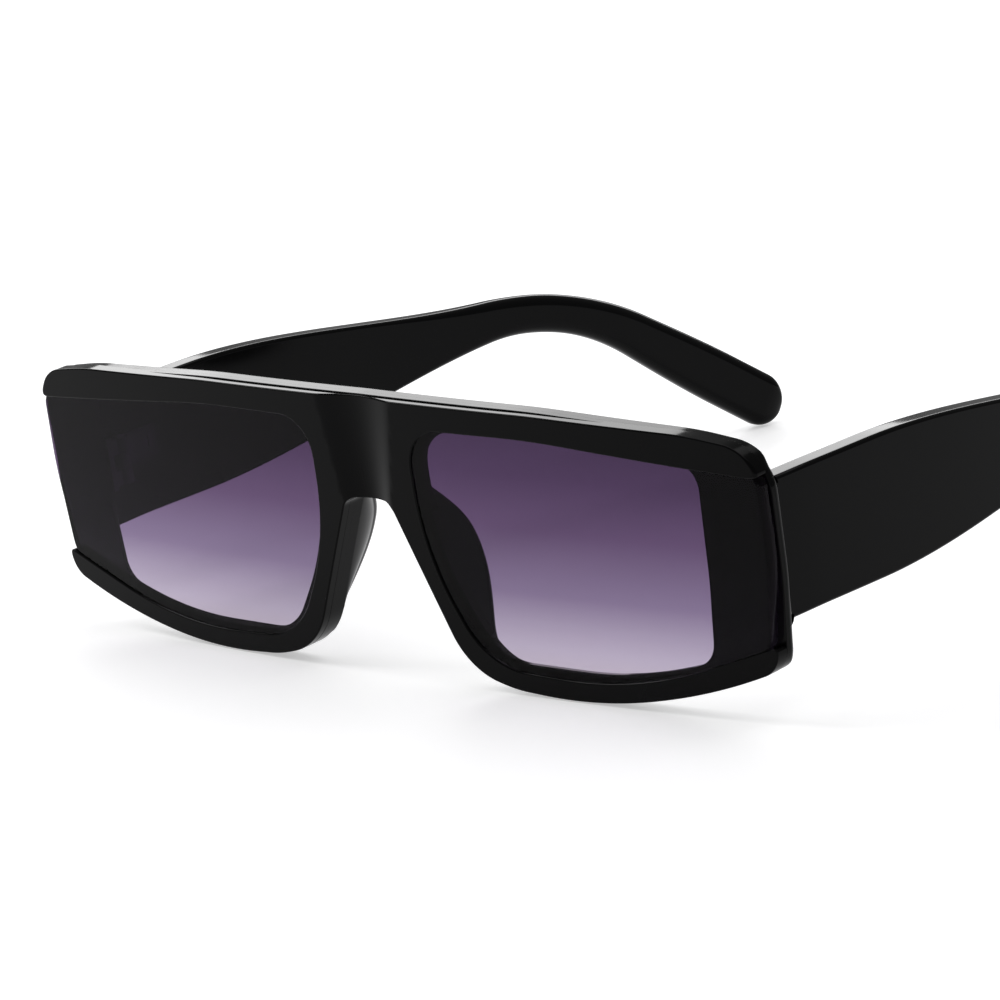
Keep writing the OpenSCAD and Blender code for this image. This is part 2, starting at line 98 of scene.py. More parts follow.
# Outlines
def rounded(corners):
    """Dense closed outline through corners (x, y, radius)."""
    pts = [np.array(c[:2], float) for c in corners]
    out = []
    n = len(corners)
    for i, c in enumerate(corners):
        a, b, d = pts[i - 1], pts[i], pts[(i + 1) % n]
        r = c[2]
        if r <= 0:
            out.append(b[None])
            continue
        p, q = (a - b) / np.linalg.norm(a - b), (d - b) / np.linalg.norm(d - b)
        half = math.acos(max(-1, min(1, float(p @ q)))) / 2
        s, e = b + p * r / math.tan(half), b + q * r / math.tan(half)
        m = b + (p + q) / np.linalg.norm(p + q) * r / math.sin(half)
        a0, a1 = math.atan2(*(s - m)[::-1]), math.atan2(*(e - m)[::-1])
        turn = (a1 - a0 + math.pi) % (2 * math.pi) - math.pi
        k = max(3, int(math.ceil(abs(turn) / math.radians(9))), int(abs(turn) * r / OUTLINE_STEP))
        t = a0 + turn * np.linspace(0, 1, k + 1)
        out.append(m + r * np.stack([np.cos(t), np.sin(t)], 1))
    loop = np.vstack(out)
    full = []
    for i in range(len(loop)):
        a, b = loop[i], loop[(i + 1) % len(loop)]
        k = max(1, int(np.linalg.norm(b - a) / OUTLINE_STEP))
        full.append(a + (b - a) * (np.arange(k) / k)[:, None])
    full = np.vstack(full)
    keep = np.linalg.norm(full - np.roll(full, 1, 0), axis=1) > 1e-4
    return ccw(full[keep])


def area(loop):
    """Area of a closed loop, positive where it runs counterclockwise."""
    x, y = loop[:, 0], loop[:, 1]
    return 0.5 * float(np.sum(x * np.roll(y, -1) - y * np.roll(x, -1)))


def ccw(loop):
    """The loop, run counterclockwise."""
    return loop if area(loop) > 0 else loop[::-1].copy()


def cw(loop):
    """The loop, run clockwise, as a hole in a plate."""
    return ccw(loop)[::-1].copy()


def mirrored(corners):
    """Closed corner list from the half at x > 0, whose first and last corners lie on x = 0."""
    half = list(corners)
    return half + [(-c[0], c[1], c[2]) for c in half[-2:0:-1]]


def inward(loop):
    """Unit normals pointing to the left of the direction of travel."""
    t = np.roll(loop, -1, 0) - np.roll(loop, 1, 0)
    t /= np.linalg.norm(t, axis=1)[:, None]
    return np.stack([-t[:, 1], t[:, 0]], 1)


def inside(p, loops):
    """Even-odd test of points against closed loops."""
    hit = np.zeros(len(p), bool)
    for loop in loops:
        a, b = loop, np.roll(loop, -1, 0)
        for (x0, y0), (x1, y1) in zip(a, b):
            if y0 == y1:
                continue
            m = (p[:, 1] > min(y0, y1)) & (p[:, 1] <= max(y0, y1))
            x = x0 + (p[:, 1] - y0) * (x1 - x0) / (y1 - y0)
            hit ^= m & (p[:, 0] < x)
    return hit


def far_from(p, loops, gap, chunk=400):
    """Which points lie farther than a gap from every point of the loops."""
    others = np.vstack(loops)
    ok = np.ones(len(p), bool)
    for i in range(0, len(p), chunk):
        d = np.linalg.norm(p[i:i + chunk, None] - others[None], axis=2).min(1)
        ok[i:i + chunk] = d > gap
    return ok


# Meshes
def facing(verts, faces, normals):
    """Turn each face so that it agrees with its corner normals."""
    turned, kept = [], []
    at = 0
    for face in faces:
        k = len(face)
        n = normals[at:at + k]
        q = verts[list(face)]
        g = np.cross(q[1] - q[0], q[2] - q[0]) if k == 3 else np.cross(q[2] - q[0], q[3] - q[1])
        if g @ n.mean(0) < 0:
            face, n = face[::-1], n[::-1]
        turned.append(face)
        kept.append(n)
        at += k
    return turned, np.vstack(kept)


def build(name, verts, faces, corner_normals, body, nodes, material):
    """Mesh object with its own corner normals, from points in mm."""
    faces, n = facing(verts, faces, corner_normals)
    me = bpy.data.meshes.new(name)
    me.from_pydata((np.asarray(verts) / 1000).tolist(), [], [list(map(int, f)) for f in faces])
    me.update()
    me.shade_smooth()
    n /= np.maximum(np.linalg.norm(n, axis=1), 1e-9)[:, None]
    me.normals_split_custom_set(n.tolist())
    ob = bpy.data.objects.new(name, me)
    bpy.context.scene.collection.objects.link(ob)
    me.materials.append(material)
    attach(ob, body)
    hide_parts(*nodes)


def plate(name, loops, vf, vb, rf, rb, body, nodes, slot, material, dense=(), lines=()):
    """Rounded plate: loops with the material on their left, between front vf(u, w) and back vb(u, w).

    The radii rf and rb of its front and back edges are numbers or functions of (u, w). In front its
    mesh is finer in the dense boxes and follows the lines.
    """
    prof = [("f", a) for a in np.linspace(0, math.pi / 2, EDGE_STEPS + 1)]
    prof += [("b", a) for a in np.linspace(math.pi / 2, 0, EDGE_STEPS + 1)]

    def radius(r, loop):
        return np.asarray(r(loop[:, 0], loop[:, 1]) if callable(r) else np.full(len(loop), r), float)

    def slope(f, p):
        e = SLOPE_STEP
        return np.stack([(f(p[:, 0] + e, p[:, 1]) - f(p[:, 0] - e, p[:, 1])) / (2 * e),
                         (f(p[:, 0], p[:, 1] + e) - f(p[:, 0], p[:, 1] - e)) / (2 * e)], 1)

    def cap_normal(side, p):
        if side == "f":
            g = slope(vf, p)
            n = np.column_stack([g[:, 0], g[:, 1], -np.ones(len(p))])
        else:
            g = slope(vb, p)
            n = np.column_stack([-g[:, 0], -g[:, 1], np.ones(len(p))])
        return n / np.linalg.norm(n, axis=1)[:, None]

    verts, faces, normals = [], [], []
    count = 0
    cap_rings = {"f": [], "b": []}
    for loop in loops:
        k, within = len(loop), inward(loop)
        rows, row_n = [], []
        radii = {"f": radius(rf, loop), "b": radius(rb, loop)}
        for side, a in prof:
            off = radii[side] * (1 - math.cos(a))
            p = loop + within * (radii[side] * (1 - math.sin(a)))[:, None]
            v = vf(p[:, 0], p[:, 1]) + off if side == "f" else vb(p[:, 0], p[:, 1]) - off
            rows.append(np.column_stack([p, v]))
            out = np.column_stack([-within, np.zeros(k)])
            row_n.append(math.cos(a) * cap_normal(side, p) + math.sin(a) * out)
        start = count
        verts += rows
        count += k * len(rows)
        cap_rings["f"].append((start, rows[0][:, :2]))
        cap_rings["b"].append((start + k * (len(rows) - 1), rows[-1][:, :2]))
        idx = np.arange(k)
        nxt = (idx + 1) % k
        for j in range(len(rows) - 1):
            a0, b0 = start + j * k, start + (j + 1) * k
            for i in range(k):
                faces.append((a0 + i, a0 + nxt[i], b0 + nxt[i], b0 + i))
                normals += [row_n[j][i], row_n[j][nxt[i]], row_n[j + 1][nxt[i]], row_n[j + 1][i]]
    for side in ("f", "b"):
        rings = [r for _, r in cap_rings[side]]
        ids = np.concatenate([s + np.arange(len(r)) for s, r in cap_rings[side]])
        pts = np.vstack(rings)
        lo, hi = pts.min(0), pts.max(0)
        gx, gy = np.meshgrid(np.arange(lo[0], hi[0], GRID_STEP), np.arange(lo[1], hi[1], GRID_STEP * 0.87))
        gx = gx + (np.arange(gx.shape[0]) % 2)[:, None] * GRID_STEP / 2
        grid = np.column_stack([gx.ravel(), gy.ravel()])
        if side == "f":
            for box, sp in dense:
                dx, dy = np.meshgrid(np.arange(box[0], box[2], sp), np.arange(box[1], box[3], sp))
                inner = np.column_stack([dx.ravel(), dy.ravel()])
                out_of = ~((grid[:, 0] > box[0] - sp) & (grid[:, 0] < box[2] + sp)
                           & (grid[:, 1] > box[1] - sp) & (grid[:, 1] < box[3] + sp))
                grid = np.vstack([grid[out_of], inner])
        grid = grid[inside(grid, rings)]
        grid = grid[far_from(grid, rings, GRID_CLEAR)]
        edges = []
        base = 0
        for r in rings:
            k = len(r)
            edges += [(base + i, base + (i + 1) % k) for i in range(k)]
            base += k
        extra = [grid]
        if side == "f":
            for line in lines:
                line = line[inside(line, rings) & far_from(line, rings, LINE_CLEAR)]
                if len(line) > 1:
                    extra[0] = extra[0][far_from(extra[0], [line], LINE_GRID_CLEAR)]
                    extra.append(line)
        pts_all = np.vstack([pts] + extra)
        at = base + len(extra[0])
        for line in extra[1:]:
            edges += [(at + i, at + i + 1) for i in range(len(line) - 1)]
            at += len(line)
        vo, _, fo, ov, _, _ = delaunay_2d_cdt([Vector(p) for p in pts_all], edges, [], 0, 1e-5)
        vo = np.array([tuple(v) for v in vo])
        fo = np.array([f for f in fo if len(f) == 3])
        cen = vo[fo].mean(1)
        fo = fo[inside(cen, rings)]
        cen = vo[fo].mean(1)
        glob = np.full(len(vo), -1)
        for i, src in enumerate(ov):
            for given in src:
                if given < base:
                    glob[i] = ids[given]
        new = np.where(glob < 0)[0]
        f = vf if side == "f" else vb
        nv = np.column_stack([vo[new], f(vo[new, 0], vo[new, 1])])
        verts.append(nv)
        glob[new] = count + np.arange(len(new))
        count += len(new)
        e1, e2 = vo[fo[:, 1]] - vo[fo[:, 0]], vo[fo[:, 2]] - vo[fo[:, 0]]
        turn = e1[:, 0] * e2[:, 1] - e1[:, 1] * e2[:, 0]
        flip = (turn > 0) if side == "f" else (turn < 0)
        # seen from the front, the outward side is -v, so a front face runs clockwise in (u, w)
        fo[flip] = fo[flip][:, ::-1]
        # the normals are taken a little inside each face, so that a step in the surface stays sharp
        corner = vo[fo]
        near = corner + 0.06 * (cen[:, None] - corner)
        faces += [tuple(t) for t in glob[fo]]
        normals += list(cap_normal(side, near.reshape(-1, 2)))
    build(name, lean(np.vstack(verts)), faces, lean_dir(np.array(normals)), body, nodes, material)


def tube(name, rings, ring_normals, body, nodes, material):
    """Loft through rings of points with given normals, closed by fans at both ends, in the part's frame."""
    rings, ring_normals = np.asarray(rings), np.asarray(ring_normals)
    k, n = rings.shape[:2]
    verts = rings.reshape(-1, 3)
    faces, normals = [], []
    for j in range(k - 1):
        for i in range(n):
            a, b = i, (i + 1) % n
            faces.append((j * n + a, (j + 1) * n + a, (j + 1) * n + b, j * n + b))
            normals += [ring_normals[j, a], ring_normals[j + 1, a], ring_normals[j + 1, b],
                        ring_normals[j, b]]
    cap = []
    for j in (0, k - 1):
        c = rings[j].mean(0)
        cap.append(c)
        d = (rings[0] - rings[1]).mean(0) if j == 0 else (rings[-1] - rings[-2]).mean(0)
        d /= np.linalg.norm(d)
        for i in range(n):
            faces.append((j * n + i, j * n + (i + 1) % n, k * n + len(cap) - 1))
            normals += [d, d, d]
    build(name, np.vstack([verts, cap]), faces, np.array(normals), body, nodes, material)


# Materials
def material(name):
    """A new material with its node tree and its shader."""
    m = bpy.data.materials.new(name)
    m.use_nodes = True
    t = m.node_tree
    return m, t, t.nodes["Principled BSDF"]


def noise(tree, vector, scale, detail):
    """Output of a noise texture."""
    n = tree.nodes.new("ShaderNodeTexNoise")
    n.inputs["Scale"].default_value = scale
    n.inputs["Detail"].default_value = detail
    tree.links.new(vector, n.inputs["Vector"])
    return n.outputs["Fac"]


def shades(tree, fac, base, dark, light, target):
    """A base colour that varies between two shades of itself."""
    ramp = tree.nodes.new("ShaderNodeValToRGB")
    for stop, k in zip(ramp.color_ramp.elements, (dark, light)):
        stop.color = (*[c * k for c in base], 1)
    tree.links.new(fac, ramp.inputs["Fac"])
    tree.links.new(ramp.outputs["Color"], target)


def spread(tree, fac, low, high, target):
    """A value that varies between low and high."""
    r = tree.nodes.new("ShaderNodeMapRange")
    r.inputs["To Min"].default_value = low
    r.inputs["To Max"].default_value = high
    tree.links.new(fac, r.inputs["Value"])
    tree.links.new(r.outputs["Result"], target)


def glossy_black(name, base, rough, ior_level):
    """Polished injection-moulded plastic: a trace of flow marks in its gloss and its colour."""
    m, t, b = material(name)
    at = t.nodes.new("ShaderNodeTexCoord").outputs["Object"]
    shades(t, noise(t, at, 38, 3), base, 0.82, 1.2, b.inputs["Base Color"])
    spread(t, noise(t, at, 900, 2), rough * 0.8, rough * 1.25, b.inputs["Roughness"])
    bump = t.nodes.new("ShaderNodeBump")
    bump.inputs["Strength"].default_value = 0.035
    bump.inputs["Distance"].default_value = 0.0002
    t.links.new(noise(t, at, 110, 1), bump.inputs["Height"])
    t.links.new(bump.outputs["Normal"], b.inputs["Normal"])
    b.inputs["Specular IOR Level"].default_value = ior_level
    return m


def gradient_lens(name):
    """Clear plastic, dark violet at the top and pale lilac at the bottom."""
    m, t, b = material(name)
    co = t.nodes.new("ShaderNodeTexCoord")
    sep = t.nodes.new("ShaderNodeSeparateXYZ")
    t.links.new(co.outputs["Object"], sep.inputs["Vector"])
    rng = t.nodes.new("ShaderNodeMapRange")
    rng.inputs["From Min"].default_value = 0.002
    rng.inputs["From Max"].default_value = 0.039
    t.links.new(sep.outputs["Z"], rng.inputs["Value"])
    ramp = t.nodes.new("ShaderNodeValToRGB")
    e = ramp.color_ramp.elements
    e[0].position, e[0].color = 0.0, (0.52, 0.455, 0.53, 1)
    e[1].position, e[1].color = 1.0, (0.046, 0.026, 0.062, 1)
    for pos, col in ((0.14, (0.42, 0.365, 0.47)), (0.36, (0.195, 0.147, 0.245)),
                     (0.62, (0.100, 0.061, 0.128)), (0.84, (0.060, 0.034, 0.080))):
        e.new(pos).color = (*col, 1)
    t.links.new(rng.outputs["Result"], ramp.inputs["Fac"])
    t.links.new(ramp.outputs["Color"], b.inputs["Base Color"])
    b.inputs["Transmission Weight"].default_value = 1.0
    b.inputs["Roughness"].default_value = 0.015
    b.inputs["IOR"].default_value = 1.15
    b.inputs["Specular IOR Level"].default_value = 0.5
    return m


def brushed(name, base, rough):
    """Steel with fine turned lines."""
    m, t, b = material(name)
    mp = t.nodes.new("ShaderNodeMapping")
    mp.inputs["Scale"].default_value = (900, 900, 6000)
    t.links.new(t.nodes.new("ShaderNodeTexCoord").outputs["Object"], mp.inputs["Vector"])
    lines = noise(t, mp.outputs["Vector"], 1.0, 3)
    shades(t, lines, base, 0.8, 1.15, b.inputs["Base Color"])
    spread(t, lines, rough * 0.75, rough * 1.3, b.inputs["Roughness"])
    b.inputs["Metallic"].default_value = 1.0
    return m


BLACK = glossy_black("moulded_black", (0.0022, 0.0022, 0.0024), 0.06, 0.06)
TEMPLE_BLACK = glossy_black("temple_black", (0.0026, 0.0026, 0.0028), 0.07, 0.06)
PAD_BLACK = glossy_black("pad_black", (0.0060, 0.0058, 0.0064), 0.14, 0.12)
LENS = gradient_lens("lens_gradient")
# the hinge steel's near-black base colour is painted shade: it keeps the hinge as dark as the shaded pocket
# behind the lens where it sits
HINGE = brushed("hinge_steel", (0.045, 0.045, 0.048), 0.34)
SCREW = brushed("screw_steel", (0.09, 0.09, 0.095), 0.3)

# The moulded front
near_x, low_x, belly_x, wide_x, turn_x = [HALF_W * k for k in (0.45, 0.54, 0.63, 0.81, 0.83)]


def channel_half(w):
    """Half width of the bridge's hollow at a height."""
    return CHANNEL_LOW + (CHANNEL_TOP - CHANNEL_LOW) * (w - ARCH_H) / (FRONT_H - ARCH_H)


def channel(u, w):
    """Depth of the bridge's hollow, which fades out at both sides."""
    side = np.clip(np.abs(np.asarray(u) / (channel_half(np.asarray(w)) + CHANNEL_BLEND)), 0, 1)
    return CHANNEL_DEEP * (1 - side ** 2) ** 1.5


def face_front(u, w):
    """The curved face, with the bridge's hollow."""
    return depth_v(u, 0) + channel(u, w)


def at_depth(d):
    """Surface at a depth behind the curved face."""
    return lambda u, w: depth_v(u, d) + 0 * np.asarray(w)


def outline(m, low, drop, turn):
    """Front view of the whole front, moved in by m at its top and ends and by low below.

    The top's ends lie lower by drop, round a corner of radius turn. Each corner is (u, w, radius).
    """
    rise = (HOOK_H - 4 - WIDE_Z) / (HALF_W - 1.5 - wide_x)
    return ccw(rounded(mirrored([
        (0, FRONT_H - m, 0), (near_x, FRONT_H - 0.3 - m, 200), (turn_x, FRONT_H - 1.6 - m - 0.6 * drop, 60),
        (HALF_W - m, FRONT_H - BROW_DROP - m - drop, turn - m), (HALF_W - 0.2 - m, HOOK_H + 9.5, 60),
        (HALF_W - 1.5 - m, HOOK_H - 4 + low - (m - low) * rise, 4.4 - m), (wide_x, WIDE_Z + low, 105),
        (low_x, -0.65 + low, 85), (FOOT_IN + 8.9, 0.4 + low, 24), (FOOT_IN + low, FOOT_Z + low, 12 - low),
        (ARCH_W + low, ARCH_H + low, 2.5), (0, ARCH_H + low, 0)])))


def face_opening(g):
    """Opening of the face layer over a lens, wider by g. It runs past the front's end."""
    return ccw(rounded([
        (OPEN_IN - g, LOW_MID + g, 6 + g), (near_x, LOW_MID + g, 150),
        (HALF_W + PAST, LOW_END - PAST * 0.085 + g, 0), (HALF_W + PAST, HOOK_H + PAST * 0.335 - g, 0),
        (belly_x, RIM_H - 1.25 - g, 73), (FOOT_IN + 3.9 - g, RIM_H - g, 13 + g),
        (OPEN_IN - g, NOSE_Z, NOSE_R)]))


def back_opening(k):
    """Opening of a layer behind the lens: the lip's at 0, and the rear layer's, which is wider, at 1."""
    g, end = k * LIP_IN, PANEL_IN + k * (BACK_IN - PANEL_IN)
    return ccw(rounded([
        (OPEN_IN + LEDGE - g, LOW_MID - 0.4 + g, 6.6 + g), (near_x, LOW_MID - 0.4 + g, 150),
        (end, LOW_END + 1.4 + g, 4 + g), (end - 0.5, HOOK_H + 8, 60),
        (end - 1.6, RIM_H + 3 + LEDGE - g, 4 + g), (belly_x, RIM_H - 0.75 + LEDGE - g, 72),
        (FOOT_IN + 6 - g, RIM_H - 0.35 + LEDGE - g, 9 + g), (OPEN_IN + LEDGE - g, NOSE_Z, NOSE_R)]))


def lens_outline(o):
    """A lens's edge, which laps behind the face layer by o and is open at its outer end."""
    return ccw(rounded([
        (OPEN_IN - o, LOW_MID + o, 6 + o), (near_x, LOW_MID + o, 150), (HALF_W - 0.5, LOW_END + 0.9, 2.4),
        (HALF_W - 0.35, HOOK_H + 11.5, 50), (HALF_W - 2.55, HOOK_H - 1, 2.4), (belly_x, RIM_H - 1.25 - o, 73),
        (FOOT_IN + 3.7 - o, RIM_H - o, 13 + o), (OPEN_IN - o, NOSE_Z, NOSE_R)]))


def crossing(a, b, loop):
    """Where the segment from a to b first meets a closed loop."""
    c, d = loop, np.roll(loop, -1, 0)
    r, q = b - a, d - c
    den = r[0] * q[:, 1] - r[1] * q[:, 0]
    den = np.where(np.abs(den) < 1e-12, 1e-12, den)
    t = ((c[:, 0] - a[0]) * q[:, 1] - (c[:, 1] - a[1]) * q[:, 0]) / den
    k = ((c[:, 0] - a[0]) * r[1] - (c[:, 1] - a[1]) * r[0]) / den
    ok = (t >= -1e-9) & (t <= 1 + 1e-9) & (k >= -1e-9) & (k <= 1 + 1e-9)
    return a + r * t[ok].min()


def eased(left, corner, right, r):
    """Join two point rows that meet in a corner, with a soft turn that starts a distance r before it."""
    def split(row):
        d = np.cumsum(np.linalg.norm(np.diff(np.vstack([corner[None], row]), axis=0), axis=1))
        k = int(np.searchsorted(d, r))
        before = corner if k == 0 else row[k - 1]
        step = d[k] - (d[k - 1] if k else 0)
        return before + (row[k] - before) * (r - (d[k - 1] if k else 0)) / step, row[k:]
    s, rest_l = split(left[::-1])
    e, rest_r = split(right)
    t = np.linspace(0, 1, 9)[:, None]
    return rest_l[::-1], (1 - t) ** 2 * s + 2 * t * (1 - t) * corner + t ** 2 * e, rest_r


def bitten(loop, hole, r_first, r_last):
    """Loop without what lies inside the hole, whose edge it crosses twice."""
    gone = inside(loop, [hole])
    start = [i for i in range(len(loop)) if gone[i - 1] and not gone[i]][0]
    loop, gone = np.roll(loop, -start, 0), np.roll(gone, -start)
    run = loop[~gone]
    x1 = crossing(run[-1], loop[len(run) % len(loop)], hole)
    x2 = crossing(loop[-1], loop[0], hole)
    hit = inside(hole, [loop])
    first = [i for i in range(len(hole)) if hit[i] and not hit[i - 1]][0]
    hole, hit = np.roll(hole, -first, 0), np.roll(hit, -first)
    edge = hole[hit]
    if np.linalg.norm(edge[0] - x1) > np.linalg.norm(edge[-1] - x1):
        edge = edge[::-1]
    a, b, rest = eased(run, x1, edge, r_first)
    c, d, tail = eased(rest, x2, a, r_last)
    return ccw(np.vstack([tail, b, c, d]))


def flip_u(loop):
    """Mirror image across u = 0."""
    q = loop.copy()
    q[:, 0] *= -1
    return ccw(q)


def clipped(loop, u0, w0, w1):
    """Dense loop cut to u >= u0 and w0 <= w <= w1, with soft corners."""
    keep = loop[(loop[:, 0] >= u0) & (loop[:, 1] > w0) & (loop[:, 1] < w1)]
    keep = keep[np.argsort(keep[:, 1])]
    corners = [(u0, w0, 0.8), (keep[0, 0], w0, 0.3)] + [(x, y, 0) for x, y in keep]
    return ccw(rounded(corners + [(keep[-1, 0], w1, 0.3), (u0, w1, 0.8)]))


heights = np.arange(ARCH_H - 1, FRONT_H + 1, 0.5)
hollow_sides = [np.column_stack([sgn * channel_half(heights), heights]) for sgn in (-1, 1)]
at_hollow = dict(dense=[((-8.6, ARCH_H - 2, 8.6, FRONT_H + 1), 0.7)], lines=hollow_sides)

whole, soft_face = outline(0, 0, 0.4, 7.5), outline(FACE_IN, 0.006, -0.3, 7.2)
soft_face[:, 0] *= (HALF_W - 0.06) / (HALF_W - FACE_IN)
gap_left, gap_right = face_opening(0), flip_u(face_opening(0))
near_gap = [face_opening(2.2), flip_u(face_opening(2.2))]
face = bitten(bitten(soft_face, gap_left, 1.2, 1.5), gap_right, 1.5, 1.2)


def lip_front(u, w):
    """Front of the layer behind the face: at the face's back, or at the slit behind a lens."""
    u, w = np.asarray(u, float), np.asarray(w, float)
    near = inside(np.column_stack([u.ravel(), w.ravel()]), near_gap).reshape(u.shape)
    lens_back = LENS_IN + LENS_T
    behind_lens = np.where(np.abs(u) > HALF_W - 3, lens_back + SLIT_END, lens_back + SLIT)
    d = np.where(near, behind_lens, FACE_T)
    return np.maximum(depth_v(u, 0) + d, depth_v(u, 0) + channel(u, w) + UNDER_FACE)


def face_edge(u, w):
    """Radius of the face's front edge: larger where the brow ends."""
    return 0.24 + 0.4 * np.clip((np.abs(u) - (HALF_W - 2.6)) / 2.2, 0, 1) * (np.asarray(w) > 25)


def lip_edge(u, w):
    """Radius of the layer's front edge, which shows only at the brow's top and the ends."""
    top = (np.asarray(w) > 36) | (np.abs(u) > HALF_W - 2)
    return np.where(top, 0.12, 0.012)


def rear_edge(u, w):
    """Radius of the front's rear edge: larger at the end pieces' outer side."""
    at_pad = (np.abs(u) < 16.5) & (np.asarray(w) > 3) & (np.asarray(w) < 28)
    return np.where(at_pad, 0.02, 0.5 + 1.1 * np.clip((np.abs(u) - (HALF_W - 2.4)) / 1.2, 0, 1))


def lens_edge(u, w):
    """Radius of the lens's front edge: its outer, exposed edge is turned round."""
    return 0.15 + 0.7 * np.clip((np.abs(u) - (HALF_W - 2.2)) / 1.2, 0, 1)


def flat_rear(u, w):
    """Rear plane of the end pieces, just inside the solid's."""
    return REAR_V - 0.05 + 0 * np.asarray(w) + 0 * np.asarray(u)


holes = [cw(back_opening(0)), cw(flip_u(back_opening(0)))]
rear_holes = [cw(back_opening(1)), cw(flip_u(back_opening(1)))]
moulding = ("front", ["front_frame"], "frame_black", BLACK)
plate("front_face", [face], face_front, at_depth(FACE_T + 0.75), face_edge, SMALL_R, *moulding, **at_hollow)
plate("front_lip", [whole] + holes, lip_front, at_depth(LIP_D + OVERLAP), lip_edge, SMALL_R, *moulding,
      **at_hollow)
plate("front_rear", [whole] + rear_holes, at_depth(LIP_D), at_depth(FRONT_T), SMALL_R, rear_edge, *moulding)
block = clipped(whole, BACK_IN + 0.1, HINGE_W - 11.2, HINGE_W + 11.2)
lens = lens_outline(0.95)
for side, sgn in SIDES:
    plate("end_piece_" + side, [block if sgn > 0 else flip_u(block)], at_depth(LIP_D + 0.2), flat_rear,
          SMALL_R, rear_edge, *moulding)
    plate("gradient_lens_" + side, [lens if sgn > 0 else flip_u(lens)], at_depth(LENS_IN),
          at_depth(LENS_IN + LENS_T), lens_edge, 0.15, "front", ["lens_" + side], "lens_tint", LENS)

# Nose pads
rear_opening = back_opening(1)


def nearest_side(loop, z):
    """Least half width at which a loop meets a height, at u > 0."""
    a, b = loop, np.roll(loop, -1, 0)
    cross = ((a[:, 1] - z) * (b[:, 1] - z) < 0) & (a[:, 0] > 0)
    u = a[cross, 0] + (z - a[cross, 1]) / (b[cross, 1] - a[cross, 1]) * (b[cross, 0] - a[cross, 0])
    return float(u.min()) if len(u) else math.inf


def nasal_side(z):
    """Half width of the front's nasal side at a height. At the foot it follows the outline's turn."""
    line = ARCH_W + (ARCH_H - z) * (FOOT_IN - ARCH_W) / (ARCH_H - FOOT_Z)
    return max(line, nearest_side(whole, z)) if z < 12 else line


def pad_rings(sgn, count=70, round_steps=26, lead_steps=10):
    """Fin behind the nasal rim. Its round back sinks into the front at both ends."""
    low, top, reach, end, r = 4.6, 31.0, 6.1, 0.5, 1.6
    width, rise, fall, sunk = 3.9, 15.5, 10.5, 1.6
    rings = []
    for z in np.linspace(low - 1.0, top + 0.3, count):
        up = min(1.0, max(0.0, (z - low) / rise))
        down = min(1.0, max(0.0, (top - z) / fall))
        fin = math.sin(0.5 * math.pi * up) ** 1.3 * math.sin(0.5 * math.pi * down) ** 1.3
        root_in = nasal_side(z) + 0.05
        root_out = min(root_in + width, nearest_side(rear_opening, z) - 0.15)
        rear = float(depth_v(root_in + 3.1, FRONT_T)) + 0.03
        deep = end * min(1.0, (top - z) / 3) + (reach - end) * fin - 0.55 * max(0, low - z)
        tip_u, tip_v = root_in + 2.5 + 0.35 * fin, rear + deep - r
        back = [(tip_u - r * math.cos(a), tip_v + r * math.sin(a))
                for a in np.linspace(0, math.pi, round_steps)]
        root = (root_in, min(rear, tip_v))
        bend = (root_in + 0.05, root[1] + 0.55 * (tip_v - root[1]))
        lead = [tuple((1 - q) ** 2 * root[i] + 2 * q * (1 - q) * bend[i] + q ** 2 * back[0][i]
                      for i in (0, 1)) for q in np.linspace(0, 1, lead_steps + 1)[:-1]]
        foot = rear - sunk
        ring = [(root_in, foot)] + lead + back + [(root_out, min(rear, tip_v) - 0.4), (root_out, foot)]
        rings.append([(sgn * u, z, v) for u, v in ring])
    return lean(np.array(rings))


def grid_normals(rings):
    """Outward normals of a loft, from its own points."""
    du = np.roll(rings, -1, 1) - np.roll(rings, 1, 1)
    dv = np.gradient(rings, axis=0)
    n = np.cross(du, dv)
    n /= np.maximum(np.linalg.norm(n, axis=2), 1e-9)[..., None]
    c = rings.mean(1)[:, None]
    flip = np.sum(n * (rings - c), 2).mean() < 0
    return -n if flip else n


for side, sgn in SIDES:
    rings = pad_rings(sgn)
    tube("moulded_pad_" + side, rings, grid_normals(rings), "front", ["nose_pad_" + side],
         PAD_BLACK)

# Temples: thickness and height of the sections, lengths, angles and bow of the middle line
T = dict(t=3.6, ear_t=4.2, h=20.8, bend_h=6.3, tip_h=9.0, straight=88.4, ear=33.8, bend_r=54.0,
         rise=math.radians(3.0), drop=math.radians(32.7), bow_r=673.0, bow_x=71.2, bow_y=30.0, start_y=4)
TURN = T["bend_r"] * (T["rise"] + T["drop"])
PATH = T["straight"] + TURN + T["ear"]
TIP_S = PATH - T["tip_h"] / 2
TEMPLE_Z = (T["tip_h"] / 2 - T["straight"] * math.sin(T["rise"])
            - T["bend_r"] * (math.cos(T["drop"]) - math.cos(T["rise"]))
            + (T["ear"] - T["tip_h"] / 2) * math.sin(T["drop"]))


def smooth(t):
    """Soft step from 0 to 1."""
    c = min(1.0, max(0.0, t))
    return c * c * (3 - 2 * c)


def path(s):
    """(y, z, heading) of the temple's middle line, before the part is centred on its y axis."""
    L, r, rise, drop = T["straight"], T["bend_r"], T["rise"], T["drop"]
    p1 = (T["start_y"] + L * math.cos(rise), TEMPLE_Z + L * math.sin(rise))
    if s <= L:
        return T["start_y"] + s * math.cos(rise), TEMPLE_Z + s * math.sin(rise), rise
    if s <= L + TURN:
        a = rise - (s - L) / r
        return p1[0] + r * (math.sin(rise) - math.sin(a)), p1[1] + r * (math.cos(a) - math.cos(rise)), a
    p2 = (p1[0] + r * (math.sin(rise) + math.sin(drop)), p1[1] + r * (math.cos(drop) - math.cos(rise)))
    e = s - L - TURN
    return p2[0] + e * math.cos(drop), p2[1] - e * math.sin(drop), -drop


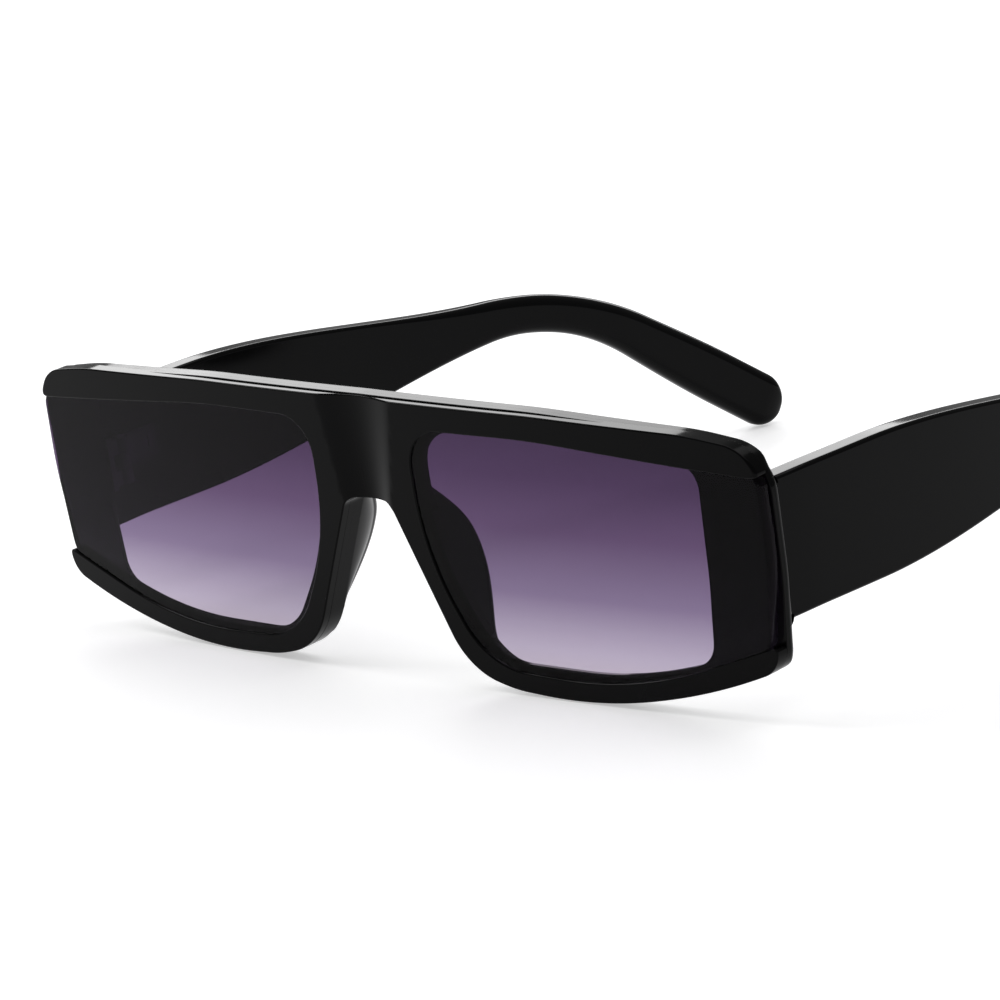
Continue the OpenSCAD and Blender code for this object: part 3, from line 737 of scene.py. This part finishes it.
def temple_height(s):
    """Height of the section: it narrows to the bend, and widens again to the tip."""
    n0, n1, s0, s1 = T["straight"] * 0.28, T["straight"] + 9, T["straight"] + 15.5, PATH - 12.8
    if s < n1:
        return T["h"] + (T["bend_h"] - T["h"]) * smooth((s - n0) / (n1 - n0))
    return T["bend_h"] + (T["tip_h"] - T["bend_h"]) * smooth((s - s0) / (s1 - s0))


def temple_ring(s, shrink, sgn, corner=9, side=7):
    """Rounded section at s along the path, with its normals; shrink closes the round tip."""
    y, z, a = path(s)
    th = T["t"] + (T["ear_t"] - T["t"]) * smooth(s / T["straight"] * 1.5 - 1)
    h = temple_height(s) / 2 * shrink
    t = th / 2 * (0.35 + 0.65 * shrink)
    r = min(h, t) * (0.34 + 0.56 * smooth(s / T["straight"] * 2 - 1.35))
    cx = T["bow_x"] - th / 2 - (y - T["bow_y"]) ** 2 / (2 * T["bow_r"])
    pts, nrm = [], []
    for q in range(4):
        ox = (t - r) if q in (0, 3) else (r - t)
        oh = (h - r) if q < 2 else (r - h)
        for b in np.linspace(q * math.pi / 2, (q + 1) * math.pi / 2, corner):
            pts.append((ox + r * math.cos(b), oh + r * math.sin(b)))
            nrm.append((math.cos(b), math.sin(b)))
        # along the flat side that follows this corner
        nx = [(r - t, h), (-t, r - h), (t - r, -h), (t, h - r)][q]
        p0 = pts[-1]
        for k in range(1, side):
            f = k / side
            pts.append((p0[0] + (nx[0] - p0[0]) * f, p0[1] + (nx[1] - p0[1]) * f))
            nrm.append(nrm[-1])
    P, N = [], []
    for (dx, dh), (nx, nh) in zip(pts, nrm):
        P.append((sgn * (cx + dx), y - dh * math.sin(a) - MID_Y, z + dh * math.cos(a)))
        N.append((sgn * nx, -nh * math.sin(a), nh * math.cos(a)))
    return np.array(P), np.array(N)


def temple_rings(sgn):
    """All sections of a temple. Its front end is cut along the leaning rear plane of the end piece."""
    along = [(s, 1.0) for s in np.linspace(0, TIP_S, 150)]
    along += [(TIP_S + T["tip_h"] / 2 * math.sin(a), math.cos(a))
              for a in np.linspace(0, math.radians(88), 16)[1:]]
    rings, normals = [], []
    c, q = math.cos(LEAN), math.sin(LEAN)
    base_y = path(0)[0] - MID_Y
    for s, shrink in along:
        P, N = temple_ring(s, shrink, sgn)
        cut_y = (REAR_V + 0.05 - P[:, 2] * q) / c - MID_Y
        ease = 1 - smooth(s / 14)
        square = base_y + s * math.cos(T["rise"])
        P[:, 1] = P[:, 1] + (cut_y - base_y) * ease - (P[:, 1] - square) * ease
        rings.append(P)
        normals.append(N)
    rings, normals = np.array(rings), np.array(normals)
    # where the section changes along the path, the loft's own slope is the better normal
    slopes = grid_normals(rings)
    return rings, np.where((np.sum(slopes * normals, 2) > 0.5)[..., None], slopes, normals)


for side, sgn in SIDES:
    rings, normals = temple_rings(sgn)
    tube("polished_temple_" + side, rings, normals, "temple_" + side, ["temple_" + side],
         TEMPLE_BLACK)

# Hinges keep their CAD shape
for node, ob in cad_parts.items():
    if "hinge" in node:
        for slot in ob.material_slots:
            slot.material = SCREW if "screw" in node else HINGE
        bevel = ob.modifiers.new("edge", "BEVEL")
        bevel.width = 0.00008
        bevel.segments = 2
        bevel.limit_method = "ANGLE"
        bevel.angle_limit = math.radians(40)

# Floor, light, camera
FLOOR_HALF, FLOOR_Z, FLOOR_GLOW = 6, -0.0002, 0.44
me = bpy.data.meshes.new("floor")
corners = [(x * FLOOR_HALF, y * FLOOR_HALF, FLOOR_Z) for x, y in ((-1, -1), (1, -1), (1, 1), (-1, 1))]
me.from_pydata(corners, [], [(0, 1, 2, 3)])
floor = bpy.data.objects.new("floor", me)
bpy.context.scene.collection.objects.link(floor)
pale, tree, shader = material("pale_floor")
shader.inputs["Base Color"].default_value = (0.86, 0.86, 0.87, 1)
shader.inputs["Roughness"].default_value = 0.6
shader.inputs["Specular IOR Level"].default_value = 0.2

# seen by the camera, in a gloss or through a lens, the floor also glows, so that it shows white
light_path = tree.nodes.new("ShaderNodeLightPath")
seen = light_path.outputs["Is Camera Ray"]
for ray in ("Is Glossy Ray", "Is Transmission Ray"):
    either = tree.nodes.new("ShaderNodeMath")
    either.operation = "ADD"
    either.use_clamp = True
    tree.links.new(seen, either.inputs[0])
    tree.links.new(light_path.outputs[ray], either.inputs[1])
    seen = either.outputs[0]
strength = tree.nodes.new("ShaderNodeMath")
strength.operation = "MULTIPLY"
strength.inputs[1].default_value = FLOOR_GLOW
glow = tree.nodes.new("ShaderNodeEmission")
added = tree.nodes.new("ShaderNodeAddShader")
tree.links.new(seen, strength.inputs[0])
tree.links.new(strength.outputs[0], glow.inputs["Strength"])
tree.links.new(shader.outputs[0], added.inputs[0])
tree.links.new(glow.outputs[0], added.inputs[1])
tree.links.new(added.outputs[0], tree.nodes["Material Output"].inputs["Surface"])
me.materials.append(pale)

world = bpy.data.worlds.new("studio")
bpy.context.scene.world = world
world.use_nodes = True
sky = world.node_tree.nodes["Background"]
sky.inputs["Color"].default_value = (1, 1, 1, 1)
sky.inputs["Strength"].default_value = 0.3


def softbox(name, loc, target, width, height, power):
    """Rectangular light, turned to a target; sizes in metres, power in watts."""
    li = bpy.data.lights.new(name, "AREA")
    li.shape = "RECTANGLE"
    li.size = width
    li.size_y = height
    li.energy = power
    ob = bpy.data.objects.new(name, li)
    bpy.context.scene.collection.objects.link(ob)
    ob.location = loc
    ob.rotation_euler = (Vector(target) - Vector(loc)).to_track_quat("-Z", "Y").to_euler()


softbox("top_softbox", (0.0, 0.25, 1.1), (0, 0, 0), 1.3, 1.0, 5.0)
softbox("side_softbox", (-0.89, -0.36, 0.93), (0, -0.07, 0.03), 0.45, 0.4, 4.0)
softbox("rear_softbox", (-1.03, 0.9, 0.53), (0, -0.07, 0.03), 1.7, 0.36, 7.5)
bpy.context.scene.view_settings.view_transform = "Standard"

# the photograph's camera: focal length and middle in pixels of its 1000 x 1000 frame
FRAME_PX, FOCAL_PX, MIDDLE_PX = 1000, 6142.2, (508.2, 501.0)
cam = bpy.data.cameras.new("camera")
cam.sensor_fit = "HORIZONTAL"
cam.sensor_width = 36
cam.lens = FOCAL_PX / FRAME_PX * cam.sensor_width
cam.shift_x = -(MIDDLE_PX[0] - FRAME_PX / 2) / FRAME_PX
cam.shift_y = (MIDDLE_PX[1] - FRAME_PX / 2) / FRAME_PX
cam.clip_start = 0.01
cam.clip_end = 50
camera = bpy.data.objects.new("camera", cam)
bpy.context.scene.collection.objects.link(camera)
forward = Vector((-0.6838, 0.6952, -0.2219)).normalized()
up = Vector((-0.091, 0.2204, 0.9712))
eye = Vector((0.6258, -0.6093, 0.2228))
# a small turn about the line on which the temple tips rest fits the view to the front's final lean
settle = Matrix.Rotation(math.radians(-0.21), 4, "X")
tips = Vector((0, 0.149, 0))
eye = tips + settle @ (eye - tips) - Vector((0, MID_Y / 1000, 0))
forward, up = settle @ forward, settle @ up
right = forward.cross(up).normalized()
up = right.cross(forward)
camera.matrix_world = Matrix.Translation(eye) @ Matrix((right, up, -forward)).transposed().to_4x4()
bpy.context.scene.camera = camera
